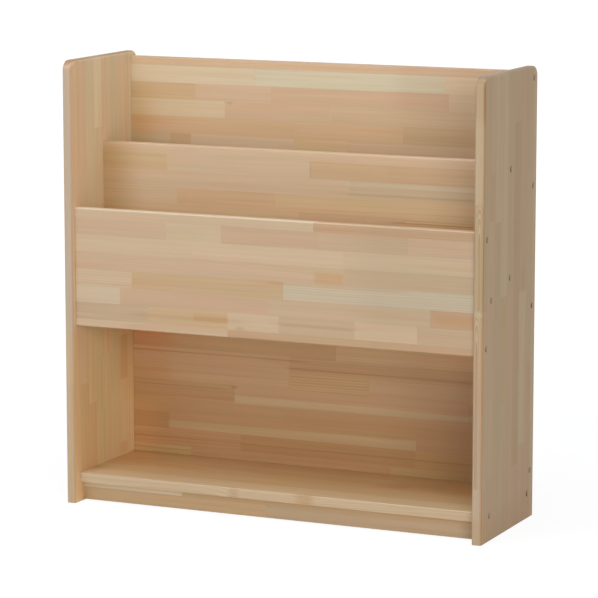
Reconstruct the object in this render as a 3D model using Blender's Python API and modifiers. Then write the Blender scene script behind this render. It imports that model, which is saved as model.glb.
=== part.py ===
# Picture book shelf in laminated pine: two side panels, three upright boards that step up towards the
# back and so make two pockets for books shown by their covers, and an open bay below them.
# The cross boards are screwed through the side panels from outside. A wooden plug closes each screw hole.
# Metres, +Z up, +X to the right, the front faces -Y. The origin is at the middle of the footprint.

import math

import bmesh
import bpy
from mathutils import Matrix, Vector

# Overall sizes
WIDTH = 0.900
SIDE_HEIGHT = 0.900
SIDE_THICKNESS = 0.020
BOARD_THICKNESS = 0.020

# Depths, from the front edge of the side panels to their back edge
FRONT_SETBACK = 0.010
FRONT_POCKET = 0.105
REAR_POCKET = 0.105
BACK_SETBACK = 0.010
SHELF_SETBACK = 0.020
PLINTH_SETBACK = 0.018

# Heights
FOOT_GAP = 0.0015
SHELF_UNDERSIDE = 0.040
BAY_HEIGHT = 0.400
FRONT_RISE = 0.125
FRONT_DROP = 0.095
MIDDLE_RISE = 0.246
BACK_DROP = 0.010

# Rounded corners and edges
CORNER_RADIUS = 0.020
SIDE_EDGE_ROUND = 0.005
BOARD_EDGE_ROUND = 0.003
PLINTH_EDGE_ROUND = 0.0015
CORNER_STEPS = 6
EDGE_STEPS = 3

# Screws, the plugs over them, and hidden dowels
SCREW_LENGTH = 0.050
SCREW_RADIUS = 0.00225
SCREW_POINT = 0.006
HEAD_RADIUS = 0.0045
HEAD_RIM = 0.0005
PLUG_RADIUS = 0.005
PLUG_LENGTH = 0.006
PLUG_RECESS = 0.0002
DOWEL_RADIUS = 0.004
DOWEL_LENGTH = 0.030
DOWEL_IN_FACE = 0.012
CHAMFER = 0.0008
ROUND_SIDES = 16
SCREW_SIDES = 12

# Where the screws go in the ends of the boards
FRONT_SCREW_INSET = 0.015
MIDDLE_SCREW_TOP = 0.015
MIDDLE_SCREW_BOTTOM = 0.020
BACK_SCREW_TOP = 0.013
BACK_SCREW_BOTTOM = 0.035
BACK_SCREW_OVER_FLOOR = 0.185
BACK_SCREW_UNDER_FLOOR = 0.033
FLOOR_SCREW_INSET = 0.015
SHELF_SCREW_INSET = 0.025
DOWEL_END_INSET = 0.130
DOWEL_COUNT = 3

# The gap that is left between pieces that touch
GAP = 0.0003

# Colours, as 0 to 255
PINE_SIDE = (205, 182, 149)
PINE_FRONT = (217, 189, 152)
PINE_MIDDLE = (213, 182, 143)
PINE_BACK = (208, 172, 132)
PINE_FLOOR = (201, 167, 127)
PINE_SHELF = (205, 173, 131)
PINE_PLINTH = (203, 170, 127)
PLUG_WOOD = (186, 158, 122)
DOWEL_BEECH = (214, 184, 146)
SCREW_STEEL = (196, 190, 170)

# Places worked out from the sizes above
DEPTH = FRONT_SETBACK + 3 * BOARD_THICKNESS + FRONT_POCKET + REAR_POCKET + BACK_SETBACK
FRONT_EDGE = -DEPTH / 2
BACK_EDGE = DEPTH / 2
INSIDE_HALF = WIDTH / 2 - SIDE_THICKNESS
FRONT_Y = FRONT_EDGE + FRONT_SETBACK
MIDDLE_Y = FRONT_Y + BOARD_THICKNESS + FRONT_POCKET
BACK_Y = MIDDLE_Y + BOARD_THICKNESS + REAR_POCKET
SHELF_Y = FRONT_EDGE + SHELF_SETBACK
PLINTH_Y = SHELF_Y + PLINTH_SETBACK
SHELF_TOP = SHELF_UNDERSIDE + BOARD_THICKNESS
FLOOR_UNDERSIDE = SHELF_TOP + BAY_HEIGHT
FLOOR_TOP = FLOOR_UNDERSIDE + BOARD_THICKNESS
FRONT_TOP = FLOOR_TOP + FRONT_RISE
FRONT_BOTTOM = FLOOR_UNDERSIDE - FRONT_DROP
MIDDLE_TOP = FLOOR_TOP + MIDDLE_RISE
BACK_TOP = SIDE_HEIGHT - BACK_DROP
BACK_END_Y = BACK_Y + BOARD_THICKNESS
HEAD_TOP = PLUG_RECESS + PLUG_LENGTH + GAP
CONE_TOP = HEAD_TOP + HEAD_RIM
CONE_END = CONE_TOP + HEAD_RADIUS - SCREW_RADIUS
SCREW_END = HEAD_TOP + SCREW_LENGTH


def clear_scene():
    for scene_object in list(bpy.data.objects):
        bpy.data.objects.remove(scene_object)


def add_collection(name, parent):
    collection = bpy.data.collections.new(name)
    parent.children.link(collection)
    return collection


def linear(channel):
    value = channel / 255
    return value / 12.92 if value <= 0.04045 else ((value + 0.055) / 1.055) ** 2.4


def add_material(name, colour, roughness, metallic=0.0):
    material = bpy.data.materials.new(name)
    material.use_nodes = True
    shader = material.node_tree.nodes["Principled BSDF"]
    shader.inputs["Base Color"].default_value = (*[linear(channel) for channel in colour], 1.0)
    shader.inputs["Roughness"].default_value = roughness
    shader.inputs["Metallic"].default_value = metallic
    return material


def add_object(name, mesh, collection, material=None):
    placed = bpy.data.objects.new(name, mesh)
    collection.objects.link(placed)
    if material:
        placed.data.materials.append(material)
    return placed


def box_shape(size):
    shape = bmesh.new()
    bmesh.ops.create_cube(shape, size=1.0, matrix=Matrix.Diagonal((*size, 1.0)))
    return shape


def finish_mesh(shape, name):
    mesh = bpy.data.meshes.new(name)
    shape.to_mesh(mesh)
    shape.free()
    return mesh


def round_marked_edges(piece, radius):
    bevel = piece.modifiers.new("rounded edges", "BEVEL")
    bevel.limit_method = "WEIGHT"
    bevel.width = radius
    bevel.segments = EDGE_STEPS
    bevel.harden_normals = False


def cut_with(piece, cutters):
    cut = piece.modifiers.new(cutters.name, "BOOLEAN")
    cut.operation = "DIFFERENCE"
    cut.operand_type = "COLLECTION"
    cut.collection = cutters
    cut.solver = "EXACT"


def side_panel(name, side, collection, material):
    size = Vector((SIDE_THICKNESS, DEPTH, SIDE_HEIGHT))
    shape = box_shape(size)
    top_corners = [
        edge
        for edge in shape.edges
        if all(vertex.co.z > 0 for vertex in edge.verts)
        and abs(edge.verts[0].co.x - edge.verts[1].co.x) > SIDE_THICKNESS / 2
    ]
    bmesh.ops.bevel(
        shape, geom=top_corners, offset=CORNER_RADIUS, segments=CORNER_STEPS, profile=0.5, affect="EDGES"
    )
    weight = shape.edges.layers.float.new("bevel_weight_edge")
    for edge in shape.edges:
        first, second = (vertex.co for vertex in edge.verts)
        along_face = abs(first.x - second.x) < SIDE_THICKNESS / 2
        at_floor = max(first.z, second.z) < 0
        edge[weight] = 1.0 if along_face and not at_floor else 0.0
    panel = add_object(name, finish_mesh(shape, name), collection, material)
    panel.location = (side * (INSIDE_HALF + SIDE_THICKNESS / 2), 0, SIDE_HEIGHT / 2)
    round_marked_edges(panel, SIDE_EDGE_ROUND)
    return panel


def cross_board(name, y_range, z_range, rounded, radius, collection, material):
    """A board between the side panels. rounded lists its long edges that are rounded, as signs of y and z."""
    length = 2 * (INSIDE_HALF - GAP)
    size = Vector((length, y_range[1] - y_range[0], z_range[1] - z_range[0]))
    shape = box_shape(size)
    weight = shape.edges.layers.float.new("bevel_weight_edge")
    for edge in shape.edges:
        first, second = (vertex.co for vertex in edge.verts)
        runs_along = abs(first.x - second.x) > length / 2
        corner = (math.copysign(1, first.y), math.copysign(1, first.z))
        edge[weight] = 1.0 if runs_along and corner in rounded else 0.0
    board = add_object(name, finish_mesh(shape, name), collection, material)
    board.location = (0, sum(y_range) / 2, sum(z_range) / 2)
    round_marked_edges(board, radius)
    return board


def profile_mesh(name, points):
    """An open line of (radius, height) points, top to bottom, for the Screw modifier to turn."""
    mesh = bpy.data.meshes.new(name)
    lines = [(index, index + 1) for index in range(len(points) - 1)]
    mesh.from_pydata([(radius, 0, height) for radius, height in points], lines, [])
    return mesh


def turned(name, mesh, sides, place, collection, material=None):
    piece = bpy.data.objects.new(name, mesh)
    collection.objects.link(piece)
    turn = piece.modifiers.new("turned", "SCREW")
    turn.axis = "Z"
    turn.angle = math.tau
    turn.steps = sides
    turn.render_steps = sides
    turn.use_merge_vertices = True
    turn.merge_threshold = 0.00001
    turn.use_smooth_shade = False
    piece.matrix_world = place
    if material and not mesh.materials:
        mesh.materials.append(material)
    return piece


def screw_profile():
    return [
        (0, -HEAD_TOP),
        (HEAD_RADIUS, -HEAD_TOP),
        (HEAD_RADIUS, -CONE_TOP),
        (SCREW_RADIUS, -CONE_END),
        (SCREW_RADIUS, SCREW_POINT - SCREW_END),
        (0, -SCREW_END),
    ]


def plug_profile():
    inner_end = -PLUG_RECESS - PLUG_LENGTH
    return [
        (0, -PLUG_RECESS),
        (PLUG_RADIUS, -PLUG_RECESS),
        (PLUG_RADIUS, inner_end + CHAMFER),
        (PLUG_RADIUS - CHAMFER, inner_end),
        (0, inner_end),
    ]


def screw_hole_profile():
    """Bore for the plug, countersink for the head and pilot hole for the shank, in one turned cutter."""
    return [
        (0, SIDE_EDGE_ROUND),
        (PLUG_RADIUS + GAP, SIDE_EDGE_ROUND),
        (PLUG_RADIUS + GAP, -CONE_TOP),
        (HEAD_RADIUS + GAP, -CONE_TOP),
        (SCREW_RADIUS + GAP, -CONE_END),
        (SCREW_RADIUS + GAP, -SCREW_END - GAP),
        (0, -SCREW_END - GAP),
    ]


def dowel_profile(extra):
    half = DOWEL_LENGTH / 2 + extra
    radius = DOWEL_RADIUS + extra
    return [
        (0, half),
        (radius - CHAMFER, half),
        (radius, half - CHAMFER),
        (radius, CHAMFER - half),
        (radius - CHAMFER, -half),
        (0, -half),
    ]


def outward(side, y, z):
    """Local +Z points out of the side panel, with the local origin on its outer face."""
    turn = Matrix.Rotation(side * math.pi / 2, 4, "Y")
    return Matrix.Translation((side * WIDTH / 2, y, z)) @ turn


def screw_places():
    """The depth and height of each screw, by the board that it holds, numbered from the top or the front."""
    half = BOARD_THICKNESS / 2
    back_heights = (
        BACK_TOP - BACK_SCREW_TOP,
        FLOOR_TOP + BACK_SCREW_OVER_FLOOR,
        FLOOR_UNDERSIDE - BACK_SCREW_UNDER_FLOOR,
        SHELF_TOP + BACK_SCREW_BOTTOM,
    )
    middle_heights = (MIDDLE_TOP - MIDDLE_SCREW_TOP, FLOOR_TOP + MIDDLE_SCREW_BOTTOM)
    front_heights = (FRONT_TOP - FRONT_SCREW_INSET, FRONT_BOTTOM + FRONT_SCREW_INSET)
    shelf_depths = (SHELF_Y + SHELF_SCREW_INSET, BACK_END_Y - SHELF_SCREW_INSET)
    return {
        "back": [(BACK_Y + half, height) for height in back_heights],
        "middle": [(MIDDLE_Y + half, height) for height in middle_heights],
        "front": [(FRONT_Y + half, height) for height in front_heights],
        "floor": [(FRONT_Y + BOARD_THICKNESS + FLOOR_SCREW_INSET, FLOOR_UNDERSIDE + half)],
        "shelf": [(depth, SHELF_UNDERSIDE + half) for depth in shelf_depths],
    }


def dowel_positions():
    first = DOWEL_END_INSET - INSIDE_HALF
    spacing = -2 * first / (DOWEL_COUNT - 1)
    return [first + spacing * index for index in range(DOWEL_COUNT)]


def build_boards(shelf):
    front, back, bottom, top = -1, 1, -1, 1
    both_top = {(front, top), (back, top)}
    all_four = both_top | {(front, bottom), (back, bottom)}
    front_two = {(front, top), (front, bottom)}
    pine = {
        "side": add_material("pine side", PINE_SIDE, 0.55),
        "front": add_material("pine front board", PINE_FRONT, 0.52),
        "middle": add_material("pine middle board", PINE_MIDDLE, 0.52),
        "back": add_material("pine back board", PINE_BACK, 0.55),
        "floor": add_material("pine pocket floor", PINE_FLOOR, 0.55),
        "shelf": add_material("pine bottom shelf", PINE_SHELF, 0.52),
        "plinth": add_material("pine plinth", PINE_PLINTH, 0.58),
    }
    rear_of_front = FRONT_Y + BOARD_THICKNESS
    thick = BOARD_THICKNESS
    boards = {
        "left": side_panel("side_panel_left", -1, shelf, pine["side"]),
        "right": side_panel("side_panel_right", 1, shelf, pine["side"]),
        "front": cross_board(
            "front_board", (FRONT_Y, FRONT_Y + thick), (FRONT_BOTTOM, FRONT_TOP),
            all_four, BOARD_EDGE_ROUND, shelf, pine["front"],
        ),
        "middle": cross_board(
            "middle_board", (MIDDLE_Y, MIDDLE_Y + thick), (FLOOR_TOP + GAP, MIDDLE_TOP),
            both_top, BOARD_EDGE_ROUND, shelf, pine["middle"],
        ),
        "back": cross_board(
            "back_board", (BACK_Y, BACK_END_Y), (SHELF_TOP + GAP, BACK_TOP),
            both_top, BOARD_EDGE_ROUND, shelf, pine["back"],
        ),
        "floor": cross_board(
            "pocket_floor", (rear_of_front + GAP, BACK_Y - GAP), (FLOOR_UNDERSIDE, FLOOR_TOP),
            set(), BOARD_EDGE_ROUND, shelf, pine["floor"],
        ),
        "shelf": cross_board(
            "bottom_shelf", (SHELF_Y, BACK_END_Y), (SHELF_UNDERSIDE, SHELF_TOP),
            front_two, BOARD_EDGE_ROUND, shelf, pine["shelf"],
        ),
        "plinth": cross_board(
            "plinth", (PLINTH_Y, PLINTH_Y + thick), (FOOT_GAP, SHELF_UNDERSIDE - GAP),
            {(front, bottom), (back, bottom)}, PLINTH_EDGE_ROUND, shelf, pine["plinth"],
        ),
    }
    return boards


def build_screw_joints(shelf, cutters, boards):
    steel = add_material("zinc-plated steel", SCREW_STEEL, 0.35, 1.0)
    wood = add_material("pine plug", PLUG_WOOD, 0.6)
    screw = profile_mesh("screw profile", screw_profile())
    plug = profile_mesh("plug profile", plug_profile())
    hole = profile_mesh("screw hole profile", screw_hole_profile())
    for side, side_name in ((-1, "left"), (1, "right")):
        holes = add_collection("screw holes " + side_name, cutters)
        for board_name, places in screw_places().items():
            for number, (y, z) in enumerate(places, 1):
                place = outward(side, y, z)
                ending = f"{number}_{side_name}"
                turned(f"{board_name}_screw_{ending}", screw, SCREW_SIDES, place, shelf, steel)
                turned(f"{board_name}_plug_{ending}", plug, ROUND_SIDES, place, shelf, wood)
                turned(f"{board_name}_hole_{ending}", hole, ROUND_SIDES, place, holes)
        cut_with(boards[side_name], holes)
        for board_name in screw_places():
            cut_with(boards[board_name], holes)


def build_dowel_joints(shelf, cutters, boards):
    beech = add_material("beech dowel", DOWEL_BEECH, 0.6)
    dowel = profile_mesh("dowel profile", dowel_profile(0))
    bore = profile_mesh("dowel hole profile", dowel_profile(GAP))
    offset = DOWEL_LENGTH / 2 - DOWEL_IN_FACE
    upright = Matrix.Identity(4)
    level = Matrix.Rotation(math.pi / 2, 4, "X")
    joints = {
        "plinth": ("shelf", (PLINTH_Y + BOARD_THICKNESS / 2, SHELF_UNDERSIDE - offset), upright),
        "floor": ("back", (BACK_Y - offset, FLOOR_UNDERSIDE + BOARD_THICKNESS / 2), level),
    }
    for board_name, (other, (y, z), turn) in joints.items():
        holes = add_collection("dowel holes " + board_name, cutters)
        for number, x in enumerate(dowel_positions(), 1):
            place = Matrix.Translation((x, y, z)) @ turn
            turned(f"{board_name}_dowel_{number}", dowel, SCREW_SIDES, place, shelf, beech)
            turned(f"{board_name}_dowel_hole_{number}", bore, SCREW_SIDES, place, holes)
        cut_with(boards[board_name], holes)
        cut_with(boards[other], holes)


def hide_cutters(cutters):
    for cutter in cutters.all_objects:
        cutter.hide_render = True
        cutter.display_type = "WIRE"


def main():
    clear_scene()
    scene_collection = bpy.context.scene.collection
    shelf = add_collection("picture book shelf", scene_collection)
    cutters = add_collection("cutters", scene_collection)
    boards = build_boards(shelf)
    build_screw_joints(shelf, cutters, boards)
    build_dowel_joints(shelf, cutters, boards)
    hide_cutters(cutters)


main()
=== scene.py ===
import math
import random

import bmesh
import bpy
import numpy as np
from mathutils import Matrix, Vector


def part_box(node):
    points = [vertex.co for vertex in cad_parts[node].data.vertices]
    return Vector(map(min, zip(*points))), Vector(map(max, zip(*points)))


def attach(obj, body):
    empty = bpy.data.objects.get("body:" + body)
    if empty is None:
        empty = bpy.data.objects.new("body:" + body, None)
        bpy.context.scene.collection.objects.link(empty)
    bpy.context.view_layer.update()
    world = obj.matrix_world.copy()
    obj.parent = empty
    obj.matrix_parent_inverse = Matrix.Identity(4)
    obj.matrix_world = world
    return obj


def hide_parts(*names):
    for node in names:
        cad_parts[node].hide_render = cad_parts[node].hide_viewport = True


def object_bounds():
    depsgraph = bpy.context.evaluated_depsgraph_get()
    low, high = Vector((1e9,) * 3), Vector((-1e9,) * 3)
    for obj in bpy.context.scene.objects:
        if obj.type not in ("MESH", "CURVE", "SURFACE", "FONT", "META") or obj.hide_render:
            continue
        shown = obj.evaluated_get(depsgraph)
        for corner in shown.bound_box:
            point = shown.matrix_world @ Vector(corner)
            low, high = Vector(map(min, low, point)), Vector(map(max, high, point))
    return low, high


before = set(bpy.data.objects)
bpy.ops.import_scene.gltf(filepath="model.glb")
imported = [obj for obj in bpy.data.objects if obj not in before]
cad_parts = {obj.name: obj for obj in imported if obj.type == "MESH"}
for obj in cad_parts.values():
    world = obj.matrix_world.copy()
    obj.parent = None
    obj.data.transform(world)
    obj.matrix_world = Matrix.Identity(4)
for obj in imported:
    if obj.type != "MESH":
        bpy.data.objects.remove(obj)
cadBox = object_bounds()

# Picture book shelf in laminated pine: the looks of every piece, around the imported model.
# Lengths are metres. In a wood's own pattern they are millimetres, because grain is read that way.

room = {
    "cameraPlace": (2.5213, -5.5735, 1.4305),
    "cameraTurn": 24.32,  # degrees to the left of straight back
    "cameraTilt": 9.307,  # degrees down
    "lens": 187.02,
    "sensor": 36.0,
    "floorSize": 120.0,
    "floorColour": (0.92, 0.92, 0.91),
    "floorGlow": 0.84,  # how much of the floor's white doesn't take the shadow
    "floorShadow": (0.9, 2.2),  # metres from the middle at which the shadow starts to fade, and is gone
    "glowStrength": 1.07,
    "skyLight": 0.25,
    "skyColour": (1.0, 1.0, 1.0),
    "lampColour": (0.96, 1.0, 1.11),
}

lamps = {
    # place, what it faces, width, height, watts
    "far soft box": ((6.2, -7.6, 2.4), (0.0, 0.0, 0.45), 4.4, 3.7, 335.0),
    "top box": ((0.0, -0.8, 3.6), (0.0, 0.0, 0.45), 2.6, 2.0, 68.0),
    "upper left box": ((-1.6, -3.4, 3.0), (0.0, 0.0, 0.45), 2.4, 2.0, 39.0),
}

# What the strips of a laminated board are sawn from, as they look in plain light, 0 to 255.
# Their number and order decide each strip's own draws, so a wood that no strip has now stays.
woods = {
    "cream": (215, 185, 144),
    "pale": (209, 190, 154),
    "blush": (212, 178, 138),
    "rose": (210, 173, 133),
    "tan": (206, 175, 134),
    "honey": (209, 174, 127),
    "amber": (203, 165, 121),
    "brown": (194, 153, 111),
}

# How far the grain's marks go in every board
grain = {
    "ringNarrow": 1.9,  # between two rings, at the least
    "ringSpread": 3.6,
    "pithAside": (30.0, 130.0),  # how far beside its strip the pith lies, nearest and further
    "pithBelow": (8.0, 70.0),
    "flatSawn": 0.86,  # strips that draw more than this show the flat side of their rings
    "flatCentred": 0.93,  # how far their pith moves under the strip's middle
    "lean": 0.02,
    "wave": 2.2,
    "drift": 9.0,
    "ringy": (0.55, 0.95),  # a strip that draws between these shows more and more of its rings
    "plainRings": 0.22,  # how much of its rings an ordinary strip shows
    "lateRise": (0.25, 0.90),  # shares of a year between which the late wood comes
    "lateFall": (0.92, 1.0),  # and goes
    "faintYear": 0.25,
    "lateWood": (0.84, 0.74, 0.62, 1.0),
    "lateShare": 0.55,
    "heartHalving": 29,  # the pith's depth under an arch halves over this length
    "heartOnset": 6,
    "heartSway": 0.8,
    "heartRings": 2.4,
    "pithRing": (1.0, 3.2),
    "pithShare": 0.6,
    "fibre": 0.08,
    "cloud": 0.16,
    "veil": 0.10,
    "stripTone": 0.04,
    "blush": (1.0, 0.925, 0.86, 1.0),
    "blushFrom": (0.50, 0.72),
    "blushShare": 0.6,
    "olive": (0.955, 1.0, 0.93, 1.0),
    "oliveFrom": (0.28, 0.50),
    "oliveShare": 0.8,
    "resin": (0.80, 0.66, 0.50, 1.0),
    "resinSway": 1.6,
    "resinEnds": 50,
    "resinCore": 0.2,
    "threadFrom": (0.66, 0.82),
    "threadShare": 0.3,
    "sapwood": (1.06, 1.24, 1.38, 1.0),
    "sapwoodSway": 3.0,
    "sapwoodCore": 0.75,
    "endGrain": (0.55, 0.49, 0.44, 1.0),
    "endGrainTurn": (0.30, 0.90),
    "knot": (120, 78, 46),
    "knotStretch": 0.5,
    "knotHalo": (0.3, 1.6),  # in radii: the halo is full inside the first and gone at the second
    "knotCore": (0.2, 0.8),
    "knotReach": 2.0,
    "glueLine": 0.05,
    "glueWidth": (0.10, 0.35),
    "jointWidth": 0.45,
    "jointShare": 0.8,
    "fingerReach": 4.0,
    "fingerPitch": 3.3,
    "faceTurn": (0.75, 0.97),  # a face's tint grows while its normal turns from the first to the second
    "hiddenTurn": (-0.6, -0.2),
    "edgeTurn": -0.35,
    "relief": (0.25, 0.5, 0.5),  # how deep late wood, fibres and glue lines lie
    "reliefDepth": 0.00012,
    "dulled": (-0.06, 0.14, 0.08, 0.08),  # roughness from late wood, fibres, glue lines and end grain
    "wax": {"Coat Weight": 0.08, "Coat Roughness": 0.35},
}

# The slow and fine changes in a strip: length, side size, noise detail, and how often its own
# offset, which keeps two strips from being alike, is added along and through the board
figures = {
    "wave": (210, 42, 1.5, 1, 1),
    "drift": (460, 160, 0.0, 1, 0),
    "fibre": (26, 0.6, 3.0, 1, 0),
    "cloud": (380, 9, 1.0, -1, 0),
    "veil": (260, 3.6, 1.0, 2, 0),
    "hue": (330, 13, 1.0, 1, -1),
    "thread": (130, 1.7, 1.0, 1, 0),
}

# The numbers that lay the strips and turn a strip's tag into its own draws
draws = {
    "stripLength": (170, 620),
    "stripShare": (0.15, 0.85),
    "tagApart": 0.002,
    "tagSteps": 2000,
    "tagStride": 0.713,
    "rowStride": 31.7,
    "offsetReach": 400,
    "rowOffset": 57,
}

# Painted shade on the panel at the forward side of each plug, in millimetres round its hole
plugShade = {
    "rim": 0.3,
    "forward": 0.7,
    "from": 0.2,
    "to": 1.0,
    "shadow": (0.34, 0.25, 0.17, 1.0),
}


def linear(channels):
    # the display's 0 to 255 turned into light: a straight foot, then a power of 2.4
    value = np.asarray(channels, float) / 255
    light = np.where(value <= 0.04045, value / 12.92, ((value + 0.055) / 1.055) ** 2.4)
    return (*light.tolist(), 1.0)


def tinted(channels, tint):
    return (*[light * share for light, share in zip(linear(channels), tint)], 1.0)


def signs(operation):
    # a sign between two values that adds its Math node, and its reflected form
    def plain(self, other):
        return self.paint.maths(operation, self, other)

    def reflected(self, other):
        return self.paint.maths(operation, other, self)

    return plain, reflected


class Wire:
    # one output of a node, written like a number
    def __init__(self, paint, socket):
        self.paint = paint
        self.socket = socket

    def out(self, name):
        return Wire(self.paint, self.socket.node.outputs[name])

    def __abs__(self):
        return self.paint.maths("ABSOLUTE", self)

    __add__, __radd__ = signs("ADD")
    __sub__, __rsub__ = signs("SUBTRACT")
    __mul__, __rmul__ = signs("MULTIPLY")
    __truediv__, __rtruediv__ = signs("DIVIDE")
    __pow__, __rpow__ = signs("POWER")
    __gt__ = signs("GREATER_THAN")[0]
    __lt__ = signs("LESS_THAN")[0]


class Paint:
    # the nodes of a material or the world, added one by one as the look is written down
    def __init__(self, owner):
        self.owner = owner
        owner.use_nodes = True
        self.tree = owner.node_tree
        self.tree.nodes.clear()

    def node(self, kind, settings=None, sockets=None):
        added = self.tree.nodes.new(kind)
        for name, value in (settings or {}).items():
            if name == "stops":
                self.setStops(added.color_ramp, value)
            else:
                setattr(added, name, value)
        for name, value in (sockets or {}).items():
            if isinstance(value, Wire):
                self.tree.links.new(value.socket, added.inputs[name])
            else:
                added.inputs[name].default_value = value
        return Wire(self, added.outputs[0]) if added.outputs else added

    def setStops(self, ramp, stops):
        ramp.interpolation = "CONSTANT"
        while len(ramp.elements) > 1:
            ramp.elements.remove(ramp.elements[-1])
        ramp.elements[0].position = stops[0][0]
        ramp.elements[0].color = stops[0][1]
        for position, colour in stops[1:]:
            ramp.elements.new(position).color = colour

    def maths(self, operation, *values):
        return self.node("ShaderNodeMath", {"operation": operation}, dict(enumerate(values)))

    def floor(self, value):
        return self.maths("FLOOR", value)

    def fraction(self, value):
        return self.maths("FRACT", value)

    def root(self, value):
        return self.maths("SQRT", value)

    def smooth(self, value, low, high):
        # 0 below low, 1 above high, an S between them
        sockets = {"Value": value, "From Min": low, "From Max": high}
        return self.node("ShaderNodeMapRange", {"interpolation_type": "SMOOTHSTEP"}, sockets)

    def noise(self, x, y, z, detail=2.0, roughness=0.5):
        place = self.node("ShaderNodeCombineXYZ", None, {0: x, 1: y, 2: z})
        sockets = {"Vector": place, "Scale": 1.0, "Detail": detail, "Roughness": roughness}
        return self.node("ShaderNodeTexNoise", {"noise_dimensions": "3D"}, sockets)

    def mix(self, share, first, second, blend="MIX"):
        settings = {"data_type": "RGBA", "blend_type": blend}
        return self.node("ShaderNodeMix", settings, {0: share, 6: first, 7: second}).out(2)

    def stain(self, share, colour, tint):
        return self.mix(share, colour, self.mix(1.0, colour, tint, "MULTIPLY"))

    def between(self, value, low, high, soft):
        # 1 from low to high, fading over soft inside both ends
        return self.smooth(value, low, low + soft) * (1 - self.smooth(value, high - soft, high))

    def grey(self, value):
        return self.node("ShaderNodeCombineColor", None, {0: value, 1: value, 2: value})

    def finish(self, colour, roughness, height, bumpDepth, sockets=None):
        relief = {"Strength": 1.0, "Distance": bumpDepth, "Height": height}
        bump = self.node("ShaderNodeBump", None, relief)
        looks = {"Base Color": colour, "Roughness": roughness, "Normal": bump}
        shader = self.node("ShaderNodeBsdfPrincipled", None, {**looks, **(sockets or {})})
        self.node("ShaderNodeOutputMaterial", None, {"Surface": shader})
        return self.owner


def readStrips(words):
    # "cream 527 amber" is cream up to 527 mm, then amber: gives [(0, cream), (527, amber)]
    parts = words.split()
    ends = [0.0] + [float(end) for end in parts[1::2]]
    return list(zip(ends, parts[0::2]))


def drawStrips(length, usual, dice):
    # a row that nothing is known of: strips of a random length from the board's usual woods
    strips = []
    start = 0.0
    while start < length:
        strips.append((start, dice.choice(usual)))
        start += dice.uniform(*draws["stripLength"])
    return strips


def stripTag(paint, along, row, board, rows):
    # Each row has a ramp whose alpha holds the strip's tag:
    # its wood's number and a random share, over the number of woods.
    names = list(woods)
    tag = None
    for number, strips in enumerate(rows):
        stops = [(start / board["length"], (0, 0, 0, (names.index(wood) + share) / len(names)))
                 for start, wood, share in strips]
        placed = {0: along / board["length"]}
        ramp = paint.node("ShaderNodeValToRGB", {"stops": stops}, placed).out("Alpha")
        tag = ramp if tag is None else tag + (ramp - tag) * (row > number - 0.5)
    return tag


def stripRows(board):
    # every row's strips with a random share each, noted or drawn
    dice = random.Random(board["seed"])
    pitch = board["pitch"]
    rows = []
    for number in range(math.ceil((board["width"] + pitch - board["first"]) / pitch)):
        known = board["strips"].get(number)
        strips = readStrips(known) if known else drawStrips(board["length"], board["usual"], dice)
        rows.append([(start, wood, dice.uniform(*draws["stripShare"])) for start, wood in strips])
    return rows


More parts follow.
